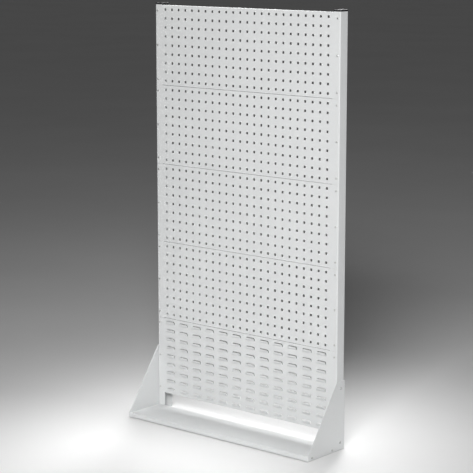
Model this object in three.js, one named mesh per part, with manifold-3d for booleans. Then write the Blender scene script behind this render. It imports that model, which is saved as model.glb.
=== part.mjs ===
// Free-standing pegboard tool wall. Two channel posts carry four perforated panels
// above one louvred panel, and stand in two end plates joined by a low base tray.
//
// Millimetres, +Z up. X runs across the panels, the panels face -Y, and the origin
// is on the floor at the centre of the overall box.

import * as THREE from "three";
import { mergeGeometries, mergeVertices } from "three/addons/utils/BufferGeometryUtils.js";
import Module from "manifold-3d";

// ---------------------------------------------------------------- driving sizes

// Gap kept between two pieces that touch.
const CLEARANCE = 0.3;

// How far a cut runs past the faces that it opens.
const OVERCUT = 1;

// Panels, stacked from the top down. The lowest one is louvred.
const PANEL_WIDTH = 978;
const PANEL_HEIGHT = 342;
const PERFORATED_PANELS = 4;
const PANEL_SEAM = 0.9;
const PANEL_SHEET = 1.25;
const PANEL_RETURN = 14; // depth of the stiffening returns along the long edges
const RETURN_GAP = 0.9; // from the ends of the returns to the posts
const PANEL_REVEAL = 6; // post face left bare beside a panel
const PANEL_DROP = 1; // from the post tops down to the top panel

// Peg holes, square, on a square pitch.
const PEG_HOLE = 10;
const PEG_PITCH = 38;
const PEG_SIDE_MARGIN = 50; // least distance from a side edge to a hole's centre
const PEG_END_MARGIN = 17; // least distance from a long edge to a hole's centre

// Louvres: tongues bent forward about their lower edges, open at the top.
const LOUVRE_WIDTH = 48;
const LOUVRE_HEIGHT = 15;
const LOUVRE_COLUMN_PITCH = 76;
const LOUVRE_ROW_PITCH = 38;
const LOUVRE_LEAN = 26; // degrees
const LOUVRE_SLIT = 0.4; // gap beside the top of a tongue
const LOUVRE_DROP = 0.5; // window centre below the middle of its row
const LOUVRE_SIDE_MARGIN = 70; // least distance from a side edge to a louvre's centre

// Posts: channels, open towards the middle.
const POST_DEPTH = 50;
const POST_FLANGE = 35;
const POST_SHEET = 2;

// Post caps.
const CAP_HEIGHT = 7.5;
const CAP_OVERHANG = 0.5;
const CAP_BEVEL = 1.5;
const CAP_PLUG = 14; // depth of the plug inside the channel
const CAP_PLUG_SETBACK = 2; // plug behind the free edges of the flanges
const CAP_PLUG_ROOT = 3.75; // how far the plug runs up into the cap

// End plates: a side sheet with a foot flange and a low front flange.
const PLATE_SHEET = 2.5;
const PLATE_REACH = 190; // from the panels' face to the front edge
const PLATE_HEIGHT = 293;
const PLATE_TOE = 25; // height of the front edge
const PLATE_LAP = 2.5; // behind the posts
const PLATE_FLANGE = 30;

// Base tray, open underneath.
const TRAY_TOP = 21.5;
const TRAY_SHEET = 2;
const TRAY_REAR_GAP = 2; // from the tray to the posts
const BASE_OPENING = 58; // from the tray up to the lowest panel

// Panel screws, three along each side of a panel. A screw's point is the length that
// stands out behind the last piece it passes through.
const PANEL_SCREW = { shank: 5, head: 8.5, headHeight: 1.8, point: 5 };
const PANEL_SCREW_EDGE = 6.5; // from the side edge of a panel
const PANEL_SCREW_END = 25; // from the long edges of a panel

// Bolts from the end plates into the posts, with nuts inside the channels.
const POST_BOLT = { shank: 6, head: 11, headHeight: 3, point: 1.5 };
const POST_BOLT_LOW = 33; // above the floor
const POST_BOLT_HIGH = 30; // below the plate's top edge
const NUT_WIDTH = 10;
const NUT_HEIGHT = 5;

// Screws from the end plates into the ends of the tray.
const TRAY_SCREW = { shank: 5, head: 9, headHeight: 2.4, point: 4 };
const TRAY_SCREW_REAR = 28; // in front of the panels' face
const TRAY_SCREW_FRONT = 28; // behind the plates' front edge

const ROUND_SIDES = 6; // sides of a screw, a nut and their holes

// ---------------------------------------------------------------- places

const halfPanel = PANEL_WIDTH / 2;
const postOuter = halfPanel + PANEL_REVEAL;
const plateInner = postOuter + CLEARANCE;
const plateOuter = plateInner + PLATE_SHEET;

// Front to back, with the middle of the overall depth at Y = 0.
const faceToPostFront = PANEL_SHEET + CLEARANCE;
const faceToPlateRear = faceToPostFront + POST_DEPTH + PLATE_LAP;
const faceY = (PLATE_REACH - faceToPlateRear) / 2;
const postFrontY = faceY + faceToPostFront;
const postRearY = postFrontY + POST_DEPTH;
const postMiddleY = postFrontY + POST_DEPTH / 2;
const plateFrontY = faceY - PLATE_REACH;
const plateRearY = postRearY + PLATE_LAP;
const trayFrontY = plateFrontY + PLATE_SHEET + CLEARANCE;
const trayRearY = postFrontY - TRAY_REAR_GAP;

// Floor to top.
const footZ = PLATE_SHEET + CLEARANCE; // posts and tray stand on the foot flanges
const panelPitch = PANEL_HEIGHT + PANEL_SEAM;
const louvrePanelZ = TRAY_TOP + BASE_OPENING;
const panelsTopZ = louvrePanelZ + (PERFORATED_PANELS + 1) * panelPitch;
const postTopZ = panelsTopZ + PANEL_DROP;

const sides = [
  { name: "left", sign: -1 },
  { name: "right", sign: 1 },
];

// ---------------------------------------------------------------- materials

function material(color, roughness, metalness) {
  return new THREE.MeshStandardMaterial({ color, roughness, metalness });
}

const lightGreyPaint = () => material(0xced1d1, 0.55, 0.1);
const blackPlastic = () => material(0x18191b, 0.5, 0);
const zincSteel = () => material(0xb4b7b8, 0.4, 0.85);

// ---------------------------------------------------------------- solids

const wasm = await Module();
wasm.setup();

// A closed geometry as a solid that can be cut and joined.
function solidOf(geometry) {
  const bare = geometry.clone();
  bare.deleteAttribute("normal");
  bare.deleteAttribute("uv");
  const merged = mergeVertices(bare);
  return new wasm.Manifold(
    new wasm.Mesh({
      numProp: 3,
      vertProperties: new Float32Array(merged.attributes.position.array),
      triVerts: new Uint32Array(merged.index.array),
    }),
  );
}

function geometryOf(solid) {
  const mesh = solid.getMesh();
  const geometry = new THREE.BufferGeometry();
  geometry.setAttribute("position", new THREE.BufferAttribute(mesh.vertProperties, 3));
  geometry.setIndex(new THREE.BufferAttribute(mesh.triVerts, 1));
  geometry.computeVertexNormals();
  return geometry;
}

// One solid from a body, the pieces joined to it and the pieces cut from it.
function build(body, joined, cut) {
  let solid = solidOf(body);
  for (const piece of joined) {
    solid = solid.add(solidOf(piece));
  }
  if (cut.length > 0) {
    solid = solid.subtract(solidOf(mergeGeometries(cut)));
  }
  return geometryOf(solid);
}

// A block from its lowest to its highest corner.
function block(low, high) {
  const size = high.map((value, axis) => value - low[axis]);
  const geometry = new THREE.BoxGeometry(...size).toNonIndexed();
  return geometry.translate(...low.map((value, axis) => value + size[axis] / 2));
}

function outline(points) {
  return new THREE.Shape(points.map(([x, y]) => new THREE.Vector2(x, y)));
}

// A prism along +X from x, with its outline in (y, z).
function prismAlongX(points, x, length) {
  const extruded = new THREE.ExtrudeGeometry(outline(points), { depth: length, bevelEnabled: false });
  const turn = new THREE.Matrix4().makeBasis(
    new THREE.Vector3(0, 1, 0),
    new THREE.Vector3(0, 0, 1),
    new THREE.Vector3(1, 0, 0),
  );
  return extruded.applyMatrix4(turn).translate(x, 0, 0);
}

// A prism along +Y from y, with its outline in (x, z), given clockwise from -Y.
function prismAlongY(points, y, length) {
  const mirrored = points.map(([x, z]) => [z, x]);
  const extruded = new THREE.ExtrudeGeometry(outline(mirrored), { depth: length, bevelEnabled: false });
  const turn = new THREE.Matrix4().makeBasis(
    new THREE.Vector3(0, 0, 1),
    new THREE.Vector3(1, 0, 0),
    new THREE.Vector3(0, 1, 0),
  );
  return extruded.applyMatrix4(turn).translate(0, y, 0);
}

// A round rod along +Y, centred on the origin of x and z.
function rodAlongY(diameter, y, length) {
  const geometry = new THREE.CylinderGeometry(diameter / 2, diameter / 2, length, ROUND_SIDES);
  return geometry.toNonIndexed().translate(0, y + length / 2, 0);
}

// The same rod turned to lie along X.
function rodAlongX(diameter, x, length) {
  return rodAlongY(diameter, x, length).rotateZ(-Math.PI / 2);
}

function clearanceHoleAlongY(screw, x, z, y, depth) {
  const diameter = screw.shank + 2 * CLEARANCE;
  return rodAlongY(diameter, y - OVERCUT, depth + 2 * OVERCUT).translate(x, 0, z);
}

function clearanceHoleAlongX(screw, y, z, x, depth) {
  const diameter = screw.shank + 2 * CLEARANCE;
  return rodAlongX(diameter, x - OVERCUT, depth + 2 * OVERCUT).translate(0, y, z);
}

// A screw pointing along +Y, its head in front of y = 0. It passes through a stack
// of pieces, each with its clearance in front of it.
function screwGeometry({ shank, head, headHeight, point }, ...stack) {
  const length = stack.reduce((sum, thickness) => sum + CLEARANCE + thickness, point);
  const profile = [
    [0, -headHeight],
    [head / 2, -headHeight],
    [head / 2, 0],
    [shank / 2, 0],
    [shank / 2, length],
    [0, length],
  ];
  const points = profile.map(([radius, y]) => new THREE.Vector2(radius, y));
  return new THREE.LatheGeometry(points, ROUND_SIDES).toNonIndexed();
}

// ---------------------------------------------------------------- patterns

// Places on a pitch, centred in a length and clear of its ends.
function pitched(length, pitch, margin) {
  const count = Math.floor((length - 2 * margin) / pitch) + 1;
  const first = -((count - 1) * pitch) / 2;
  return Array.from({ length: count }, (_, index) => first + index * pitch);
}

const screwColumns = sides.map(({ sign }) => sign * (halfPanel - PANEL_SCREW_EDGE));
const screwRows = [PANEL_SCREW_END, PANEL_HEIGHT / 2, PANEL_HEIGHT - PANEL_SCREW_END];

// Panels from the floor up, each with the height of its lower edge.
const panels = [{ name: "louvre_panel", z: louvrePanelZ, louvred: true }];
for (let row = PERFORATED_PANELS; row >= 1; row -= 1) {
  const z = louvrePanelZ + (PERFORATED_PANELS + 1 - row) * panelPitch;
  panels.push({ name: `perforated_panel_${row}`, z, louvred: false });
}

const plateBolts = [POST_BOLT_LOW, PLATE_HEIGHT - POST_BOLT_HIGH];
const trayScrewsY = [faceY - TRAY_SCREW_REAR, plateFrontY + TRAY_SCREW_FRONT];
const trayScrewZ = (footZ + TRAY_TOP) / 2;

// ---------------------------------------------------------------- panels

// A flat sheet with its face at y = 0 and its lower edge at z = 0, stiffened by
// returns along both long edges that pass between the posts.
function panelSheet() {
  const sheet = block([-halfPanel, 0, 0], [halfPanel, PANEL_SHEET, PANEL_HEIGHT]);
  const halfReturn = postOuter - POST_FLANGE - RETURN_GAP;
  const returns = [0, PANEL_HEIGHT - PANEL_SHEET].map((z) =>
    block([-halfReturn, 0, z], [halfReturn, PANEL_RETURN, z + PANEL_SHEET]),
  );
  return { sheet, returns };
}

function panelScrewHoles() {
  return screwColumns.flatMap((x) =>
    screwRows.map((z) => clearanceHoleAlongY(PANEL_SCREW, x, z, 0, PANEL_SHEET)),
  );
}

function perforatedPanelGeometry() {
  const { sheet, returns } = panelSheet();
  const half = PEG_HOLE / 2;
  const holes = pitched(PANEL_HEIGHT, PEG_PITCH, PEG_END_MARGIN).flatMap((row) =>
    pitched(PANEL_WIDTH, PEG_PITCH, PEG_SIDE_MARGIN).map((x) => {
      const z = PANEL_HEIGHT / 2 + row;
      return block([x - half, -OVERCUT, z - half], [x + half, PANEL_SHEET + OVERCUT, z + half]);
    }),
  );
  return build(sheet, returns, [...holes, ...panelScrewHoles()]);
}

// The window is wider at the top than the tongue, and as wide at the hinge line.
function louvreWindow(x, z) {
  const half = LOUVRE_WIDTH / 2;
  const corners = [
    [x - half + LOUVRE_SLIT, z],
    [x - half, z + LOUVRE_HEIGHT],
    [x + half, z + LOUVRE_HEIGHT],
    [x + half - LOUVRE_SLIT, z],
  ];
  return prismAlongY(corners, -OVERCUT, PANEL_SHEET + 2 * OVERCUT);
}

function louvreTongue(x, z) {
  const lean = THREE.MathUtils.degToRad(LOUVRE_LEAN);
  const tipY = -LOUVRE_HEIGHT * Math.sin(lean);
  const tipZ = z + LOUVRE_HEIGHT * Math.cos(lean) - PANEL_SHEET * Math.sin(lean);
  const profile = [
    [0, z],
    [PANEL_SHEET, z],
    [tipY + PANEL_SHEET * Math.cos(lean), tipZ + PANEL_SHEET * Math.sin(lean)],
    [tipY, tipZ],
  ];
  const width = LOUVRE_WIDTH - 2 * LOUVRE_SLIT;
  return prismAlongX(profile, x - width / 2, width);
}

function louvrePanelGeometry() {
  const { sheet, returns } = panelSheet();
  const places = pitched(PANEL_HEIGHT, LOUVRE_ROW_PITCH, PEG_END_MARGIN).flatMap((row) =>
    pitched(PANEL_WIDTH, LOUVRE_COLUMN_PITCH, LOUVRE_SIDE_MARGIN).map((x) => {
      const z = PANEL_HEIGHT / 2 + row - LOUVRE_DROP - LOUVRE_HEIGHT / 2;
      return [x, z];
    }),
  );
  const windows = places.map(([x, z]) => louvreWindow(x, z));
  const tongues = places.map(([x, z]) => louvreTongue(x, z));
  const pierced = solidOf(build(sheet, returns, [...windows, ...panelScrewHoles()]));
  return geometryOf(pierced.add(solidOf(mergeGeometries(tongues))));
}

// ---------------------------------------------------------------- posts and caps

// A post as seen from its own side: sign is -1 on the left and 1 on the right.
function postGeometry(sign) {
  const outer = sign * postOuter;
  const inner = sign * (postOuter - POST_FLANGE);
  const web = sign * (postOuter - POST_SHEET);
  const section = [
    [outer, postFrontY],
    [outer, postRearY],
    [inner, postRearY],
    [inner, postRearY - POST_SHEET],
    [web, postRearY - POST_SHEET],
    [web, postFrontY + POST_SHEET],
    [inner, postFrontY + POST_SHEET],
    [inner, postFrontY],
  ];
  const length = postTopZ - footZ;
  const channel = new THREE.ExtrudeGeometry(outline(section), { depth: length, bevelEnabled: false });
  channel.translate(0, 0, footZ);
  const screwX = sign * (halfPanel - PANEL_SCREW_EDGE);
  const screwHoles = panels.flatMap((panel) =>
    screwRows.map((row) =>
      clearanceHoleAlongY(PANEL_SCREW, screwX, panel.z + row, postFrontY, POST_SHEET),
    ),
  );
  const webLow = Math.min(outer, web);
  const boltHoles = plateBolts.map((z) =>
    clearanceHoleAlongX(POST_BOLT, postMiddleY, z, webLow, POST_SHEET),
  );
  return build(channel, [], [...screwHoles, ...boltHoles]);
}

// A cap with a bevelled top and a plug that fills the mouth of the channel.
function capGeometry(sign) {
  const halfX = POST_FLANGE / 2 + CAP_OVERHANG;
  const halfY = POST_DEPTH / 2 + CAP_OVERHANG;
  const top = new THREE.ExtrudeGeometry(
    outline([
      [-halfX + CAP_BEVEL, -halfY + CAP_BEVEL],
      [halfX - CAP_BEVEL, -halfY + CAP_BEVEL],
      [halfX - CAP_BEVEL, halfY - CAP_BEVEL],
      [-halfX + CAP_BEVEL, halfY - CAP_BEVEL],
    ]),
    {
      depth: CAP_HEIGHT - 2 * CAP_BEVEL,
      bevelThickness: CAP_BEVEL,
      bevelSize: CAP_BEVEL,
      bevelSegments: 1,
    },
  );
  const middleX = sign * (postOuter - POST_FLANGE / 2);
  const capZ = postTopZ + CLEARANCE;
  top.translate(middleX, postMiddleY, capZ + CAP_BEVEL);
  const plugEnds = [
    sign * (postOuter - POST_SHEET - CLEARANCE),
    sign * (postOuter - POST_FLANGE + CAP_PLUG_SETBACK),
  ];
  const halfPlugY = POST_DEPTH / 2 - POST_SHEET - CLEARANCE;
  const plug = block(
    [Math.min(...plugEnds), postMiddleY - halfPlugY, postTopZ - CAP_PLUG],
    [Math.max(...plugEnds), postMiddleY + halfPlugY, capZ + CAP_PLUG_ROOT],
  );
  return build(top, [plug], []);
}

// ---------------------------------------------------------------- base

function endPlateGeometry(sign) {
  const sheetX = Math.min(sign * plateInner, sign * plateOuter);
  const sideSheet = prismAlongX(
    [
      [plateFrontY, 0],
      [plateRearY, 0],
      [plateRearY, PLATE_HEIGHT],
      [faceY, PLATE_HEIGHT],
      [plateFrontY, PLATE_TOE],
    ],
    sheetX,
    PLATE_SHEET,
  );
  const flangeEnds = [sign * plateOuter, sign * (plateOuter - PLATE_FLANGE)];
  const lowX = Math.min(...flangeEnds);
  const highX = Math.max(...flangeEnds);
  const foot = block([lowX, plateFrontY, 0], [highX, plateRearY, PLATE_SHEET]);
  const toe = block([lowX, plateFrontY, 0], [highX, plateFrontY + PLATE_SHEET, PLATE_TOE]);
  const boltHoles = plateBolts.map((z) =>
    clearanceHoleAlongX(POST_BOLT, postMiddleY, z, sheetX, PLATE_SHEET),
  );
  const screwHoles = trayScrewsY.map((y) =>
    clearanceHoleAlongX(TRAY_SCREW, y, trayScrewZ, sheetX, PLATE_SHEET),
  );
  return build(sideSheet, [foot, toe], [...boltHoles, ...screwHoles]);
}

// A sheet folded down on all four sides, open underneath.
function trayGeometry() {
  const end = plateInner - CLEARANCE;
  const section = [
    [trayFrontY, footZ],
    [trayFrontY + TRAY_SHEET, footZ],
    [trayFrontY + TRAY_SHEET, TRAY_TOP - TRAY_SHEET],
    [trayRearY - TRAY_SHEET, TRAY_TOP - TRAY_SHEET],
    [trayRearY - TRAY_SHEET, footZ],
    [trayRearY, footZ],
    [trayRearY, TRAY_TOP],
    [trayFrontY, TRAY_TOP],
  ];
  const shell = prismAlongX(section, -end, 2 * end);
  const endLips = [-end, end - TRAY_SHEET].map((x) =>
    block([x, trayFrontY, footZ], [x + TRAY_SHEET, trayRearY, TRAY_TOP]),
  );
  const screwHoles = [-end, end - TRAY_SHEET].flatMap((x) =>
    trayScrewsY.map((y) => clearanceHoleAlongX(TRAY_SCREW, y, trayScrewZ, x, TRAY_SHEET)),
  );
  return build(shell, endLips, screwHoles);
}

// A nut around a bolt along X, its inner end at x = 0.
function nutGeometry() {
  const across = NUT_WIDTH / Math.cos(Math.PI / ROUND_SIDES);
  const body = rodAlongX(across, 0, NUT_HEIGHT);
  return build(body, [], [clearanceHoleAlongX(POST_BOLT, 0, 0, 0, NUT_HEIGHT)]);
}

// ---------------------------------------------------------------- assembly

const toolWall = new THREE.Group();

function place(name, geometry, meshMaterial, position = [0, 0, 0]) {
  const mesh = new THREE.Mesh(geometry, meshMaterial);
  mesh.name = name;
  mesh.position.set(...position);
  toolWall.add(mesh);
  return mesh;
}

const perforatedPanel = perforatedPanelGeometry();
const louvrePanel = louvrePanelGeometry();
for (const { name, z, louvred } of panels) {
  place(name, louvred ? louvrePanel : perforatedPanel, lightGreyPaint(), [0, faceY, z]);
}

const panelScrew = screwGeometry(PANEL_SCREW, PANEL_SHEET, POST_SHEET);
for (const { name, z } of panels) {
  sides.forEach((side, column) => {
    screwRows.forEach((row, index) => {
      const screwName = `${name}_screw_${side.name}_${index + 1}`;
      const position = [screwColumns[column], faceY - CLEARANCE, z + row];
      place(screwName, panelScrew, zincSteel(), position);
    });
  });
}

const postBolt = screwGeometry(POST_BOLT, PLATE_SHEET, POST_SHEET, NUT_HEIGHT);
const trayScrew = screwGeometry(TRAY_SCREW, PLATE_SHEET, TRAY_SHEET);
const nut = nutGeometry();
for (const { name, sign } of sides) {
  place(`${name}_post`, postGeometry(sign), lightGreyPaint());
  place(`${name}_post_cap`, capGeometry(sign), blackPlastic());
  place(`${name}_end_plate`, endPlateGeometry(sign), lightGreyPaint());

  const headX = sign * (plateOuter + CLEARANCE);
  const nutX = sign * (postOuter - POST_SHEET - CLEARANCE) - (sign > 0 ? NUT_HEIGHT : 0);
  plateBolts.forEach((z, index) => {
    const bolt = place(`${name}_post_bolt_${index + 1}`, postBolt, zincSteel(), [headX, postMiddleY, z]);
    bolt.rotation.z = (sign * Math.PI) / 2;
    place(`${name}_post_nut_${index + 1}`, nut, zincSteel(), [nutX, postMiddleY, z]);
  });
  trayScrewsY.forEach((y, index) => {
    const screw = place(`${name}_tray_screw_${index + 1}`, trayScrew, zincSteel(), [headX, y, trayScrewZ]);
    screw.rotation.z = (sign * Math.PI) / 2;
  });
}

place("base_tray", trayGeometry(), lightGreyPaint());

export default toolWall;
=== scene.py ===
import math

import bmesh
import bpy
from mathutils import Matrix, Vector


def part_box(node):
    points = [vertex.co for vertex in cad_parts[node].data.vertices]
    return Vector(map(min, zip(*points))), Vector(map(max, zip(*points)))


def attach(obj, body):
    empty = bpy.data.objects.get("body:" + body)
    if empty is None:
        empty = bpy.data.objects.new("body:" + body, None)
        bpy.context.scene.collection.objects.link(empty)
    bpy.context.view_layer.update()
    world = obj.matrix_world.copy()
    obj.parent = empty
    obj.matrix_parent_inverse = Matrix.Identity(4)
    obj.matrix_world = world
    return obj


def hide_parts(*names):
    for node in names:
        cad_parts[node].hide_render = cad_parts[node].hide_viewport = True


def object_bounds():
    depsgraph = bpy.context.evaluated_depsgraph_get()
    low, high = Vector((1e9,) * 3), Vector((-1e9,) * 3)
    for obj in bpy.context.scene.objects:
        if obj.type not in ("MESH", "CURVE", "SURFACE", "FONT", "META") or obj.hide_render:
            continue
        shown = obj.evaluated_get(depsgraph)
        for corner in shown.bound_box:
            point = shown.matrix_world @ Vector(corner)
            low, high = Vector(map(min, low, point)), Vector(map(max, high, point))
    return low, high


# Free-standing pegboard tool wall: painted folded steel, black plastic caps and zinc fasteners.
# Metres, +Z up, in the CAD model's frame. The panels face -Y.

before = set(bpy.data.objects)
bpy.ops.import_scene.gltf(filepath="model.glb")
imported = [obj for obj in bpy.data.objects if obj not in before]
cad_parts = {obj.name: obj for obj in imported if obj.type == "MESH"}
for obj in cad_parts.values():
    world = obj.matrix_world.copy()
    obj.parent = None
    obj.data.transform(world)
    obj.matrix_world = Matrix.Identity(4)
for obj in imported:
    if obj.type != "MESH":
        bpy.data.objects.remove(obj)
cad_low, cad_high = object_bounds()

MM = 0.001
WELD = 1e-6  # corners closer than this are one vertex
RIGHT, LEFT = 1, -1
SIDES = {"left": LEFT, "right": RIGHT}

# Panels
PERFORATED_PANELS = 4
PANEL_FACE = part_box("perforated_panel_1")[0].y
PANEL_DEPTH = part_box("perforated_panel_1")[1].y - PANEL_FACE
PANEL_SHEET = 1.25 * MM
PANEL_BEND = 2.3 * MM  # outer radius where the long edges fold back
RETURN_GAP = 0.9 * MM  # from the returns to the posts
PEG_PITCH = 38 * MM
PEG_COLUMNS = 24
PEG_ROWS = 9
PEG_HOLE = 10 * MM
PEG_CORNER = 1.1 * MM
SCREW_EDGE = 6.5 * MM  # from a panel's side edge to its screws
SCREW_END = 25 * MM  # from its long edges to the upper and lower screws
SCREW_HOLE = 5.6 * MM

# Louvres
LOUVRE_COLUMNS = 12
LOUVRE_WIDTH = 48 * MM
LOUVRE_HEIGHT = 15 * MM
LOUVRE_DROP = 0.5 * MM  # window centre below the middle of its row
LOUVRE_SLIT = 0.6 * MM
LOUVRE_CORNER = 6 * MM
LOUVRE_REACH = 6.5 * MM  # how far a tongue stands in front of the panel
LOUVRE_RISE = 13.6 * MM  # height of a tongue above its hinge line
LOUVRE_CROWN = 2.2  # how quickly a tongue bends out: 1 is a straight lean
LOUVRE_STEPS = 4  # rows of faces in a tongue's straight sides, and in each round corner
TONGUE_SHARES = (-1, -0.8, -0.4, 0, 0.4, 0.8, 1)  # columns of points across a tongue

# Frame
POST_SHEET = 2 * MM
POST_BEND = 4 * MM
PLATE_SHEET = 2.5 * MM
PLATE_BEND = 4 * MM
PLATE_TOE = 25 * MM
PLATE_FLANGE = 30 * MM
PLATE_CORNER = 4 * MM
TRAY_SHEET = 2 * MM
TRAY_BEND = 3.2 * MM

# Caps
CAP_SKIRT = 0.5 * MM  # rounding of the lower edge
CAP_BREAK = 0.15 * MM  # how far in and up the middle of that rounding lies
CAP_EDGE = 2.2 * MM  # rounding of the upper edge
CAP_CORNER = 2.6 * MM  # corner radius seen from above
CAP_LEAST_CORNER = 0.4 * MM  # corner radius of the innermost loops
CAP_CROWN = 0.35 * MM  # rise of the top's middle over its rim
CAP_RIDGE = 1.2 * MM  # from the middle line to where the crown turns level
CROWN_SHARES = (0.25, 0.5, 0.75)  # loops of points between the rim and that line
CAP_HEIGHT = 7.5 * MM
PLUG_SIDE_GAP = 2.8 * MM  # from the cap's outline to the plug
PLUG_WALL = 1.8 * MM
PLUG_TAPER = (0.6 * MM, 0.9 * MM)  # lead-in of the plug's lower end: inwards, upwards

# Fasteners
PANEL_SCREW = {"head": 8.5 * MM, "shank": 5 * MM, "thread": 6 * MM, "pitch": 0.8 * MM, "socket": 3 * MM}
TRAY_SCREW = {"head": 9 * MM, "shank": 5 * MM, "thread": 5 * MM, "pitch": 0.8 * MM, "socket": 3 * MM}
POST_BOLT = {"head": 11 * MM, "shank": 6 * MM, "thread": 7 * MM, "pitch": 1 * MM, "socket": 4 * MM}
ROUND_STEPS = 24
THREAD_STEPS = 4  # loops of points for each turn of thread
THREAD_DEPTH = 0.45 * MM
THREAD_POINT = 0.5 * MM  # length of the shank's chamfered end
THREAD_TIP = 1.2  # how much slimmer that end is, in thread depths
HEAD_BREAK = 0.2 * MM  # chamfer round the underside of a head
HEAD_RIM = 0.3  # share of a head's height below its dome
DOME_STEPS = 5
SOCKET_EDGE = 0.66  # radius where the dome ends, as a share of the socket's width
SOCKET_FLOOR = 0.35  # height of the socket's floor, as a share of the head's height
NUT_ACROSS = 10 * MM
NUT_BORE = 5.8 * MM
NUT_BREAK = 0.3 * MM  # chamfer at both ends of the bore
NUT_CHAMFER = 0.12  # height of the corner chamfers, as a share of the nut's height
NUT_ROUND = 1.03  # radius the corners are turned down to, as a share of half the width across flats

BEND_STEPS = 5
CORNER_STEPS = 3
EDGE_ROUND = 0.28 * MM  # rounding of cut sheet edges under the paint
CAP_ROUND = 0.15 * MM
FASTENER_ROUND = 0.12 * MM
SHARP = math.radians(50)  # edges turned by more than this are cut edges

# Paint
# Edges are painted lighter: partly paint thinned and worn there, partly a painted highlight.
EDGE_WEAR_AND_HIGHLIGHT = 0.8 * MM  # width of the lighter paint along edges
EDGE_PAINT_AND_HIGHLIGHT = (0.70, 0.71, 0.71)
EDGE_COSINES = (0.99, 0.80)  # turns of the rounded normal at which the lighter edge, thinned paint and painted highlight, starts and is full
NOISE_RANGE = (0.3, 0.7)  # where most of a noise texture's values lie

# Camera
CAMERA_TARGET = Vector((0.0188, 0, 0.8522))
CAMERA_DISTANCE = 7.071
CAMERA_AZIMUTH = 40.25
CAMERA_ELEVATION = 10.41
CAMERA_LENS = 129.1
CAMERA_SENSOR = 36
CAMERA_CLIP = 500

# Lights and floor
SOFTBOXES = {  # azimuth, elevation, distance, size, power, beam
    "key_softbox": (32, 28, 6.2, 2.0, 66, 70),
    "side_softbox": (106, 18, 4.5, 1.6, 4, 60),
    "top_softbox": (200, 82, 4.2, 1.0, 4.5, 26),
    "rear_softbox": (205, 36, 4.5, 1.6, 10, 34),
}
WORLD_STRENGTH = 0.085
FLOOR_HALF = 90  # half the floor's width
FLOOR_CELLS = 8


# ---------------------------------------------------------------- camera and lights


def direction(azimuth, elevation):
    """From the object towards a viewpoint. Azimuth 0 is in front of the panels."""
    a, e = math.radians(azimuth), math.radians(elevation)
    return Vector((math.sin(a) * math.cos(e), -math.cos(a) * math.cos(e), math.sin(e)))


def link(name, data):
    made = bpy.data.objects.new(name, data)
    bpy.context.scene.collection.objects.link(made)
    return made


def aim(made, target, azimuth, elevation, distance):
    back = direction(azimuth, elevation)
    made.location = target + back * distance
    made.rotation_mode = "QUATERNION"
    made.rotation_quaternion = (-back).to_track_quat("-Z", "Y")


def make_camera():
    lens = bpy.data.cameras.new("camera")
    lens.lens = CAMERA_LENS
    lens.sensor_width = CAMERA_SENSOR
    lens.clip_end = CAMERA_CLIP
    camera = link("camera", lens)
    aim(camera, CAMERA_TARGET, CAMERA_AZIMUTH, CAMERA_ELEVATION, CAMERA_DISTANCE)
    bpy.context.scene.camera = camera


def softbox(name, azimuth, elevation, distance, size, power, beam):
    """A square area light aimed at the middle of the object, with a grid that narrows its beam."""
    lamp = bpy.data.lights.new(name, "AREA")
    lamp.shape = "SQUARE"
    lamp.size = size
    lamp.energy = power
    lamp.spread = math.radians(beam)
    aim(link(name, lamp), (cad_low + cad_high) / 2, azimuth, elevation, distance)


def make_lights():
    for name, setting in SOFTBOXES.items():
        softbox(name, *setting)
    world = bpy.data.worlds.new("studio")
    world.use_nodes = True
    shade = world.node_tree.nodes["Background"]
    shade.inputs["Color"].default_value = (1, 1, 1, 1)
    shade.inputs["Strength"].default_value = WORLD_STRENGTH
    bpy.context.scene.world = world
    bpy.context.scene.view_settings.view_transform = "Standard"


# ---------------------------------------------------------------- materials


def node(tree, kind, **values):
    """A shader node with its plain properties and its inputs set by name."""
    made = tree.nodes.new(kind)
    for name, value in values.items():
        if name in made.inputs:
            made.inputs[name].default_value = value
        else:
            setattr(made, name, value)
    return made


def new_material(name):
    material = bpy.data.materials.new(name)
    material.use_nodes = True
    tree = material.node_tree
    coordinates = node(tree, "ShaderNodeTexCoord").outputs["Object"]
    return material, tree, tree.nodes["Principled BSDF"], coordinates


def noise(tree, coordinates, scale, detail=2.0, stretch=None):
    made = node(tree, "ShaderNodeTexNoise", Scale=scale, Detail=detail)
    if stretch is not None:
        mapping = node(tree, "ShaderNodeMapping", Scale=stretch)
        tree.links.new(coordinates, mapping.inputs["Vector"])
        coordinates = mapping.outputs["Vector"]
    tree.links.new(coordinates, made.inputs["Vector"])
    return made.outputs["Fac"]


def spread(tree, value, low, high):
    """A noise value, spread from low to high."""
    made = node(tree, "ShaderNodeMapRange")
    made.inputs["From Min"].default_value = NOISE_RANGE[0]
    made.inputs["From Max"].default_value = NOISE_RANGE[1]
    made.inputs["To Min"].default_value = low
    made.inputs["To Max"].default_value = high
    tree.links.new(value, made.inputs["Value"])
    return made.outputs["Result"]


def blend(tree, share, first, second, way="MIX"):
    """A colour between two colours, each a tuple or another node's output. The share of the
    second one is a number or an output too."""
    made = node(tree, "ShaderNodeMix", data_type="RGBA", blend_type=way)
    if isinstance(share, float):
        made.inputs["Factor"].default_value = share
    else:
        tree.links.new(share, made.inputs["Factor"])
    sockets = {socket.name: socket for socket in made.inputs if socket.type == "RGBA"}
    for name, colour in (("A", first), ("B", second)):
        if isinstance(colour, tuple):
            sockets[name].default_value = (*colour, 1)
        else:
            tree.links.new(colour, sockets[name])
    return next(socket for socket in made.outputs if socket.type == "RGBA")


def total(tree, first, second, second_share=1.0):
    """One value plus a share of another."""
    made = node(tree, "ShaderNodeMath", operation="MULTIPLY_ADD")
    tree.links.new(second, made.inputs[0])
    made.inputs[1].default_value = second_share
    tree.links.new(first, made.inputs[2])
    return made.outputs["Value"]


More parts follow.
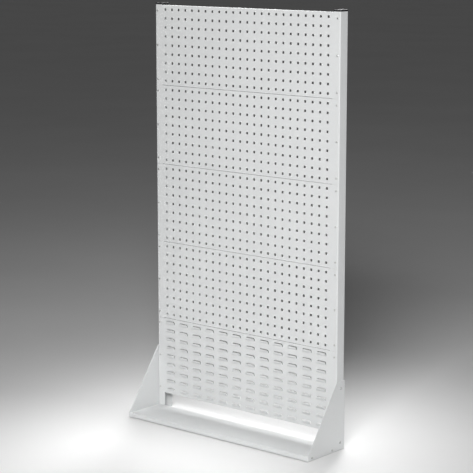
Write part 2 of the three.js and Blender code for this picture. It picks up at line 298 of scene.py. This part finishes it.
def bump(tree, shader, height, strength, depth):
    made = node(tree, "ShaderNodeBump", Strength=strength, Distance=depth)
    tree.links.new(height, made.inputs["Height"])
    tree.links.new(made.outputs["Normal"], shader.inputs["Normal"])


def edge_share(tree, radius):
    """Near 1 on rounded edges and corners, 0 on flat stretches."""
    rounded = node(tree, "ShaderNodeBevel", samples=4, Radius=radius)
    plain = node(tree, "ShaderNodeNewGeometry")
    cosine = node(tree, "ShaderNodeVectorMath", operation="DOT_PRODUCT")
    tree.links.new(rounded.outputs["Normal"], cosine.inputs[0])
    tree.links.new(plain.outputs["Normal"], cosine.inputs[1])
    made = node(tree, "ShaderNodeMapRange")
    made.inputs["From Min"].default_value = EDGE_COSINES[0]
    made.inputs["From Max"].default_value = EDGE_COSINES[1]
    tree.links.new(cosine.outputs["Value"], made.inputs["Value"])
    return made.outputs["Result"]


def powder_coat(name, base, shadow, light, rub):
    """Satin powder coat: orange peel, a fine speckle, broad tone drift and thin bright edges, where the
    paint is thinned and a highlight is painted.
    """
    material, tree, shader, coordinates = new_material(name)
    drift = spread(tree, noise(tree, coordinates, 2.6, 3), 0, 1)
    speckle = spread(tree, noise(tree, coordinates, 2600, 1), 0, 1)
    toned = blend(tree, drift, shadow, base)
    grained = blend(tree, 0.10, toned, speckle, "SOFT_LIGHT")
    # Lighter colour on edges: thinned paint plus a painted highlight.
    colour = blend(tree, edge_share(tree, EDGE_WEAR_AND_HIGHLIGHT), grained, light)
    tree.links.new(colour, shader.inputs["Base Color"])

    streaks = spread(tree, noise(tree, coordinates, 9, 4, rub), -0.05, 0.07)
    satin = spread(tree, noise(tree, coordinates, 420, 2), 0.46, 0.58)
    tree.links.new(total(tree, satin, streaks), shader.inputs["Roughness"])

    peel = noise(tree, coordinates, 620, 2)
    waves = noise(tree, coordinates, 140, 1)
    bump(tree, shader, total(tree, peel, waves, 0.8), 0.32, 0.06 * MM)
    shader.inputs["Specular IOR Level"].default_value = 0.42
    return material


def moulded_plastic(name):
    """Black plastic with a fine spark-eroded grain."""
    material, tree, shader, coordinates = new_material(name)
    drift = spread(tree, noise(tree, coordinates, 60, 3), 0, 1)
    colour = blend(tree, drift, (0.010, 0.010, 0.011), (0.022, 0.022, 0.024))
    tree.links.new(colour, shader.inputs["Base Color"])
    grain = noise(tree, coordinates, 1500, 3)
    tree.links.new(spread(tree, grain, 0.42, 0.60), shader.inputs["Roughness"])
    bump(tree, shader, grain, 0.45, 0.08 * MM)
    return material


def zinc_plate(name):
    """Bright zinc plate with a faint yellow and blue bloom and small spangles."""
    material, tree, shader, coordinates = new_material(name)
    bloom = spread(tree, noise(tree, coordinates, 260, 3), 0, 1)
    colour = blend(tree, bloom, (0.50, 0.52, 0.56), (0.62, 0.60, 0.55))
    tree.links.new(colour, shader.inputs["Base Color"])
    shader.inputs["Metallic"].default_value = 0.95
    spangle = noise(tree, coordinates, 900, 2)
    tree.links.new(spread(tree, spangle, 0.26, 0.44), shader.inputs["Roughness"])
    bump(tree, shader, spangle, 0.25, 0.04 * MM)
    return material


def studio_floor(name):
    material, tree, shader, coordinates = new_material(name)
    drift = spread(tree, noise(tree, coordinates, 0.7, 3), 0, 1)
    colour = blend(tree, drift, (0.68, 0.68, 0.68), (0.72, 0.72, 0.72))
    tree.links.new(colour, shader.inputs["Base Color"])
    tree.links.new(spread(tree, noise(tree, coordinates, 5, 3), 0.75, 0.9), shader.inputs["Roughness"])
    return material


PANEL_PAINT = powder_coat(
    "panel_paint", (0.655, 0.665, 0.665), (0.640, 0.650, 0.651), EDGE_PAINT_AND_HIGHLIGHT, (1, 1, 1)
)
FRAME_PAINT = powder_coat(
    "frame_paint", (0.650, 0.660, 0.661), (0.632, 0.642, 0.644), EDGE_PAINT_AND_HIGHLIGHT, (0.15, 1, 1)
)
CAP_PLASTIC = moulded_plastic("cap_plastic")
SCREW_ZINC = zinc_plate("screw_zinc")


# ---------------------------------------------------------------- mesh work


class Surface:
    """Faces whose shared corners are one vertex. The left-hand piece mirrors the right-hand one."""

    def __init__(self, sign=RIGHT):
        self.sign = sign
        self.places = {}
        self.corners = []
        self.faces = []

    def vertex(self, point):
        place = (self.sign * point[0], point[1], point[2])
        key = tuple(round(value / WELD) for value in place)
        if key not in self.places:
            self.places[key] = len(self.corners)
            self.corners.append(place)
        return self.places[key]

    def face(self, points):
        """One face, unless its corners fall together. Repeated corners are dropped."""
        loop = [self.vertex(point) for point in points]
        loop = [here for here, before in zip(loop, [loop[-1], *loop]) if here != before]
        if len(loop) > 2:
            self.faces.append(loop if self.sign == RIGHT else loop[::-1])

    def strip(self, near, far):
        for index in range(len(near) - 1):
            self.face([near[index], near[index + 1], far[index + 1], far[index]])

    def loft(self, loops):
        """Faces between closed loops, each counter-clockwise from outside, low to high."""
        for low, high in zip(loops, loops[1:]):
            self.strip([*low, low[0]], [*high, high[0]])

    def make(self, name):
        mesh = bpy.data.meshes.new(name)
        mesh.from_pydata(self.corners, [], self.faces)
        mesh.validate()
        mesh.shade_smooth()
        return link(name, mesh)


def fold(surface, line, normal, outward, radius, reach):
    """Bends a sheet back along a line of points. The sheet's outer face has this normal, and
    the flange's free edge ends up at reach behind that face."""
    normal, outward = Vector(normal), Vector(outward)
    steps = [index / BEND_STEPS * math.pi / 2 for index in range(BEND_STEPS + 1)]
    shifts = [outward * radius * math.sin(t) - normal * radius * (1 - math.cos(t)) for t in steps]
    shifts.append(outward * radius - normal * reach)
    rows = [[Vector(point) + shift for point in line] for shift in shifts]
    for above, below in zip(rows, rows[1:]):
        surface.strip(below, above)


def arcs_of(x, z, half_x, half_z, radii, steps):
    """Corner arcs of a hole in (x, z), counter-clockwise from the lower left corner."""
    arcs = []
    for corner, (side, level) in enumerate([(-1, -1), (1, -1), (1, 1), (-1, 1)]):
        radius = radii[corner]
        middle = (x + side * (half_x - radius), z + level * (half_z - radius))
        start = math.pi + corner * math.pi / 2
        turns = [start + step / steps * math.pi / 2 for step in range(steps + 1)]
        arcs.append([(middle[0] + radius * math.cos(t), middle[1] + radius * math.sin(t)) for t in turns])
    return arcs


def pierced(surface, columns, rows, y, arcs, lower_edge=()):
    """A rectangle of sheet around one hole. lower_edge holds extra points along the hole's
    lower edge, from left to right."""
    rim = [(columns[0], rows[0]), (columns[1], rows[0]), (columns[1], rows[1]), (columns[0], rows[1])]
    for corner in range(4):
        here, following = arcs[corner], arcs[(corner + 1) % 4]
        between = list(lower_edge)[::-1] if corner == 0 else []
        loop = [rim[corner], rim[(corner + 1) % 4], following[0], *between, here[-1]]
        surface.face([(x, y, z) for x, z in loop])
        for near, far in zip(here, here[1:]):
            surface.face([(x, y, z) for x, z in (rim[corner], far, near)])


def plain(surface, columns, rows, y):
    corners = [(0, 0), (1, 0), (1, 1), (0, 1)]
    surface.face([(columns[i], y, rows[j]) for i, j in corners])


def sheet_metal(piece, thickness):
    """Gives a surface its thickness and rounds the cut edges."""
    solid = piece.modifiers.new("thickness", "SOLIDIFY")
    solid.thickness = thickness
    solid.offset = -1
    solid.use_even_offset = True
    soften(piece, EDGE_ROUND)


def soften(piece, width):
    bevel = piece.modifiers.new("edges", "BEVEL")
    bevel.width = width
    bevel.segments = 2
    bevel.limit_method = "ANGLE"
    bevel.angle_limit = SHARP
    weighted = piece.modifiers.new("normals", "WEIGHTED_NORMAL")
    weighted.keep_sharp = True


def dress(piece, material, slot, *nodes):
    piece.data.materials.append(material)
    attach(piece, "root")
    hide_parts(*nodes)


# ---------------------------------------------------------------- panels


def panel_grid(low, high, columns, pitch):
    """Column and row edges of a panel's pattern, with the margins and the fold lines."""
    half_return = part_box("right_post")[0].x - RETURN_GAP
    half_pattern = columns * pitch / 2
    pattern = [-half_pattern + column * pitch for column in range(columns + 1)]
    across = [low.x, -half_return, *pattern, half_return, high.x]
    middle = (low.z + high.z) / 2
    rows = [middle + (row - PEG_ROWS / 2) * PEG_PITCH for row in range(PEG_ROWS + 1)]
    upward = [low.z, low.z + PANEL_BEND, *rows[1:-1], high.z - PANEL_BEND, high.z]
    return across, upward


def panel_surface(low, high, columns, pitch, pattern):
    """A panel's outer face, with its long edges folded back. pattern(surface, columns, rows, y,
    middle z) makes one cell."""
    surface = Surface()
    across, upward = panel_grid(low, high, columns, pitch)
    middle = (low.z + high.z) / 2
    screws = (low.z + SCREW_END, middle, high.z - SCREW_END)
    face_y = high.y - PANEL_DEPTH
    for i, edges in enumerate(zip(across, across[1:])):
        beside_posts = i in (0, len(across) - 2)
        patterned = 2 <= i < len(across) - 3
        for j, rows in enumerate(zip(upward, upward[1:])):
            folded = j in (0, len(upward) - 2)
            if beside_posts:
                inside = [z for z in screws if rows[0] < z < rows[1]]
                x = edges[0] + SCREW_EDGE if i == 0 else edges[1] - SCREW_EDGE
                if inside and not folded:
                    half = SCREW_HOLE / 2
                    arcs = arcs_of(x, inside[0], half, half, [half] * 4, CORNER_STEPS)
                    pierced(surface, edges, rows, face_y, arcs)
                else:
                    plain(surface, edges, rows, face_y)
            elif patterned and not folded:
                row_middle = middle + (j - 1 - (PEG_ROWS - 1) / 2) * PEG_PITCH
                pattern(surface, edges, rows, face_y, row_middle)
            elif not folded:
                plain(surface, edges, rows, face_y)
    inner = across[1:-1]
    lower_line = [(x, face_y, upward[1]) for x in inner]
    upper_line = [(x, face_y, upward[-2]) for x in inner[::-1]]
    fold(surface, lower_line, (0, -1, 0), (0, 0, -1), PANEL_BEND, PANEL_DEPTH)
    fold(surface, upper_line, (0, -1, 0), (0, 0, 1), PANEL_BEND, PANEL_DEPTH)
    return surface


def peg_cell(surface, columns, rows, y, middle):
    half = PEG_HOLE / 2
    x = (columns[0] + columns[1]) / 2
    pierced(surface, columns, rows, y, arcs_of(x, middle, half, half, [PEG_CORNER] * 4, CORNER_STEPS))


def louvre_cell(surface, columns, rows, y, middle):
    """A window with its tongue, bent forward about the window's lower edge."""
    x, z = (columns[0] + columns[1]) / 2, middle - LOUVRE_DROP
    half_x, half_z = LOUVRE_WIDTH / 2, LOUVRE_HEIGHT / 2
    arcs = arcs_of(x, z, half_x, half_z, [0, 0, LOUVRE_CORNER, LOUVRE_CORNER], CORNER_STEPS)
    hinge_z = z - half_z
    tongue_half = half_x - LOUVRE_SLIT
    arcs[0] = [(x - half_x, hinge_z), (x - tongue_half, hinge_z)]
    arcs[1] = [(x + tongue_half, hinge_z), (x + half_x, hinge_z)]
    hinge = [(x + share * tongue_half, hinge_z) for share in TONGUE_SHARES]
    pierced(surface, columns, rows, y, arcs, hinge[1:-1])

    corner = LOUVRE_CORNER - LOUVRE_SLIT
    straight = 1 - corner / LOUVRE_RISE
    levels = [(straight * step / LOUVRE_STEPS, 0) for step in range(LOUVRE_STEPS + 1)]
    turns = [(step + 1) / LOUVRE_STEPS * math.pi / 2 for step in range(LOUVRE_STEPS)]
    levels += [(straight + (1 - straight) * math.sin(t), corner * (1 - math.cos(t))) for t in turns]
    lines = []
    for level, inset in levels:
        out = LOUVRE_REACH * (1 - (1 - level) ** LOUVRE_CROWN)
        half = tongue_half - inset
        height = hinge_z + level * LOUVRE_RISE
        lines.append([(x + share * half, y - out, height) for share in TONGUE_SHARES])
    for below, above in zip(lines, lines[1:]):
        surface.strip(below, above)


def make_panels():
    for number in range(1, PERFORATED_PANELS + 1):
        name = f"perforated_panel_{number}"
        surface = panel_surface(*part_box(name), PEG_COLUMNS, PEG_PITCH, peg_cell)
        piece = surface.make(f"fine_{name}")
        sheet_metal(piece, PANEL_SHEET)
        dress(piece, PANEL_PAINT, "panel_paint", name)
    pitch = PEG_COLUMNS * PEG_PITCH / LOUVRE_COLUMNS
    surface = panel_surface(*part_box("louvre_panel"), LOUVRE_COLUMNS, pitch, louvre_cell)
    piece = surface.make("fine_louvre_panel")
    sheet_metal(piece, PANEL_SHEET)
    dress(piece, PANEL_PAINT, "panel_paint", "louvre_panel")


# ---------------------------------------------------------------- frame


def right_box(name, sign):
    """A node's box, as if it stood on the right."""
    low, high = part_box(name)
    if sign == LEFT:
        low.x, high.x = -high.x, -low.x
    return low, high


def make_post(side, sign):
    low, high = right_box(f"{side}_post", sign)
    surface = Surface(sign)
    front, rear = low.y + POST_BEND, high.y - POST_BEND
    web = [(front, low.z), (rear, low.z), (rear, high.z), (front, high.z)]
    surface.face([(high.x, y, z) for y, z in web])
    reach = high.x - low.x
    front_line = [(high.x, front, high.z), (high.x, front, low.z)]
    rear_line = [(high.x, rear, low.z), (high.x, rear, high.z)]
    fold(surface, front_line, (1, 0, 0), (0, -1, 0), POST_BEND, reach)
    fold(surface, rear_line, (1, 0, 0), (0, 1, 0), POST_BEND, reach)
    piece = surface.make(f"fine_{side}_post")
    sheet_metal(piece, POST_SHEET)
    dress(piece, FRAME_PAINT, "frame_paint", f"{side}_post")


def make_end_plate(side, sign):
    low, high = right_box(f"{side}_end_plate", sign)
    surface = Surface(sign)
    x, front, foot = high.x, low.y + PLATE_BEND, low.z + PLATE_BEND
    toe = low.z + PLATE_TOE
    outline = [(front, foot), (high.y, foot)]
    outline += corner_arc((high.y, foot), (high.y, high.z), (PANEL_FACE, high.z), PLATE_CORNER)
    outline += corner_arc((high.y, high.z), (PANEL_FACE, high.z), (front, toe), PLATE_CORNER)
    outline.append((front, toe))
    surface.face([(x, y, z) for y, z in outline])
    foot_line = [(x, front, foot), (x, high.y, foot)]
    toe_line = [(x, front, toe), (x, front, foot)]
    fold(surface, foot_line, (1, 0, 0), (0, 0, -1), PLATE_BEND, PLATE_FLANGE)
    fold(surface, toe_line, (1, 0, 0), (0, -1, 0), PLATE_BEND, PLATE_FLANGE)
    piece = surface.make(f"fine_{side}_end_plate")
    sheet_metal(piece, PLATE_SHEET)
    dress(piece, FRAME_PAINT, "frame_paint", f"{side}_end_plate")


def corner_arc(before, corner, after, radius):
    """Points that round the corner of an outline."""
    before, corner, after = Vector(before), Vector(corner), Vector(after)
    back, on = (before - corner).normalized(), (after - corner).normalized()
    half = math.acos(max(-1, min(1, back.dot(on)))) / 2
    middle = corner + (back + on).normalized() * radius / math.sin(half)
    start = corner + back * radius / math.tan(half) - middle
    end = corner + on * radius / math.tan(half) - middle
    arc = []
    for step in range(BEND_STEPS + 1):
        share = step / BEND_STEPS
        arc.append(middle + (start * (1 - share) + end * share).normalized() * radius)
    return [tuple(point) for point in arc]


def make_tray():
    low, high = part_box("base_tray")
    surface = Surface()
    left, right = low.x + TRAY_BEND, high.x - TRAY_BEND
    front, rear = low.y + TRAY_BEND, high.y - TRAY_BEND
    corners = [(left, front, high.z), (right, front, high.z), (right, rear, high.z), (left, rear, high.z)]
    surface.face(corners)
    reach = high.z - low.z
    ways = [(0, -1, 0), (1, 0, 0), (0, 1, 0), (-1, 0, 0)]
    for index, outward in enumerate(ways):
        line = [corners[index], corners[(index + 1) % 4]]
        fold(surface, line, (0, 0, 1), outward, TRAY_BEND, reach)
    piece = surface.make("fine_base_tray")
    sheet_metal(piece, TRAY_SHEET)
    dress(piece, FRAME_PAINT, "frame_paint", "base_tray")


# ---------------------------------------------------------------- caps


def rounded_loop(low, high, inset, radius, z):
    """A rectangle with round corners, counter-clockwise from above."""
    half_x, half_y = (high.x - low.x) / 2 - inset, (high.y - low.y) / 2 - inset
    x, y = (low.x + high.x) / 2, (low.y + high.y) / 2
    radius = max(radius - inset, CAP_LEAST_CORNER)
    arcs = arcs_of(x, y, half_x, half_y, [radius] * 4, BEND_STEPS)
    return [(*point, z) for arc in arcs for point in arc]


def make_cap(side):
    low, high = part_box(f"{side}_post_cap")
    rim_z = high.z - CAP_HEIGHT
    surface = Surface()
    turns = [step / BEND_STEPS * math.pi / 2 for step in range(BEND_STEPS + 1)]
    edge_z = high.z - CAP_CROWN - CAP_EDGE
    plug_inset, core_inset = PLUG_SIDE_GAP, PLUG_SIDE_GAP + PLUG_WALL
    taper_in, taper_up = PLUG_TAPER
    levels = [(core_inset, rim_z), (core_inset, low.z), (plug_inset + taper_in, low.z)]
    levels += [(plug_inset, low.z + taper_up), (plug_inset, rim_z), (CAP_SKIRT, rim_z)]
    levels += [(CAP_BREAK, rim_z + CAP_BREAK), (0, rim_z + CAP_SKIRT)]
    levels += [(CAP_EDGE * (1 - math.cos(t)), edge_z + CAP_EDGE * math.sin(t)) for t in turns]
    half = (high.x - low.x) / 2
    for share in CROWN_SHARES:
        inset = CAP_EDGE + (half - CAP_RIDGE - CAP_EDGE) * share
        levels.append((inset, high.z - CAP_CROWN * (1 - share) ** 2))
    loops = [rounded_loop(low, high, inset, CAP_CORNER, z) for inset, z in levels]
    surface.loft(loops)
    surface.face(loops[0][::-1])
    surface.face(loops[-1])
    piece = surface.make(f"fine_{side}_post_cap")
    soften(piece, CAP_ROUND)
    dress(piece, CAP_PLASTIC, "cap_plastic", f"{side}_post_cap")


# ---------------------------------------------------------------- fasteners


def ring(radius, z):
    """A loop of points round the Z axis. radius is a number or a function of the angle."""
    points = []
    for step in range(ROUND_STEPS):
        angle = step / ROUND_STEPS * 2 * math.pi
        here = radius(angle) if callable(radius) else radius
        points.append((here * math.cos(angle), here * math.sin(angle), z))
    return points


def hexagon(across):
    def radius(angle):
        sixth = math.pi / 3
        return across / 2 / math.cos(angle % sixth - sixth / 2)

    return radius


def threaded(outer, pitch, z):
    """The radius of a screw thread at one height, as a function of the angle."""
    def radius(angle):
        phase = (z / pitch - angle / (2 * math.pi)) % 1
        return outer - THREAD_DEPTH * abs(2 * phase - 1)

    return radius


def loose_mesh(surface, name):
    """A surface's mesh without an object, to be copied."""
    made = surface.make(name)
    mesh = made.data
    bpy.data.objects.remove(made)
    return mesh


def fastener_mesh(name, size, head_height, length):
    """A button head with a hexagon socket above z = 0 and a threaded shank below it."""
    surface = Surface()
    half, core, pitch = size["head"] / 2, size["shank"] / 2, size["pitch"]
    step_height = pitch / THREAD_STEPS
    count = int(size["thread"] / pitch * THREAD_STEPS)
    levels = [-length + THREAD_POINT + index * step_height for index in range(count)]
    loops = [ring(core - THREAD_TIP * THREAD_DEPTH, -length)]
    loops += [ring(threaded(core, pitch, z), z) for z in levels]
    loops += [ring(core, levels[-1] + pitch / 2), ring(core, 0), ring(half - HEAD_BREAK, 0)]
    loops += [ring(half, HEAD_BREAK), ring(half, head_height * HEAD_RIM)]
    edge = size["socket"] * SOCKET_EDGE
    for step in range(1, DOME_STEPS + 1):
        turn = step / DOME_STEPS * math.pi / 2
        reach = edge + (half - edge) * math.cos(turn)
        loops.append(ring(reach, head_height * (HEAD_RIM + (1 - HEAD_RIM) * math.sin(turn))))
    loops.append(ring(hexagon(size["socket"]), head_height))
    loops.append(ring(hexagon(size["socket"]), head_height * SOCKET_FLOOR))
    surface.loft(loops)
    surface.face(loops[0][::-1])
    surface.face(loops[-1])
    return loose_mesh(surface, name)


def nut_mesh(name, across, height, bore):
    """A hexagon nut with chamfered corners, from z = 0 up."""
    surface = Surface()
    outer = hexagon(across)
    chamfer = height * NUT_CHAMFER

    def turned(angle):
        return min(outer(angle), across / 2 * NUT_ROUND)

    mouth = bore / 2 + NUT_BREAK
    loops = [ring(mouth, 0), ring(turned, 0), ring(outer, chamfer)]
    loops += [ring(outer, height - chamfer), ring(turned, height), ring(mouth, height)]
    loops += [ring(bore / 2, height - NUT_BREAK), ring(bore / 2, NUT_BREAK)]
    surface.loft([*loops, loops[0]])
    return loose_mesh(surface, name)


def fix(node_name, mesh, seat, pointing):
    """Puts a copy of a fastener with its seat at a point and its head the way pointing says."""
    piece = link(f"fine_{node_name}", mesh.copy())
    turn = Vector(pointing).to_track_quat("Z", "Y").to_matrix().to_4x4()
    piece.matrix_world = Matrix.Translation(seat) @ turn
    soften(piece, FASTENER_ROUND)
    dress(piece, SCREW_ZINC, "screw_zinc", node_name)


def make_fasteners():
    plate_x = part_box("right_end_plate")[1].x
    low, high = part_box("louvre_panel_screw_left_1")
    panel_screw = fastener_mesh("panel_screw", PANEL_SCREW, PANEL_FACE - low.y, high.y - PANEL_FACE)
    low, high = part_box("right_post_bolt_1")
    post_bolt = fastener_mesh("post_bolt", POST_BOLT, high.x - plate_x, plate_x - low.x)
    low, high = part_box("right_tray_screw_1")
    tray_screw = fastener_mesh("tray_screw", TRAY_SCREW, high.x - plate_x, plate_x - low.x)
    low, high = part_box("right_post_nut_1")
    nut = nut_mesh("nut", NUT_ACROSS, high.x - low.x, NUT_BORE)
    for name in sorted(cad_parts):
        low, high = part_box(name)
        middle = (low + high) / 2
        sign = RIGHT if middle.x > 0 else LEFT
        if "_panel_" in name and "_screw_" in name:
            fix(name, panel_screw, (middle.x, PANEL_FACE, middle.z), (0, -1, 0))
        elif "_post_bolt_" in name:
            fix(name, post_bolt, (sign * plate_x, middle.y, middle.z), (sign, 0, 0))
        elif "_tray_screw_" in name:
            fix(name, tray_screw, (sign * plate_x, middle.y, middle.z), (sign, 0, 0))
        elif "_post_nut_" in name:
            outer = high.x if sign == RIGHT else low.x
            fix(name, nut, (outer, middle.y, middle.z), (-sign, 0, 0))


# ---------------------------------------------------------------- floor


def make_floor():
    shape = bmesh.new()
    bmesh.ops.create_grid(shape, x_segments=FLOOR_CELLS, y_segments=FLOOR_CELLS, size=FLOOR_HALF)
    mesh = bpy.data.meshes.new("floor")
    shape.to_mesh(mesh)
    shape.free()
    floor = link("floor", mesh)
    floor.location.z = cad_low.z
    mesh.materials.append(studio_floor("studio_floor"))


make_camera()
make_lights()
make_floor()
make_panels()
for side, sign in SIDES.items():
    make_post(side, sign)
    make_end_plate(side, sign)
    make_cap(side)
make_tray()
make_fasteners()
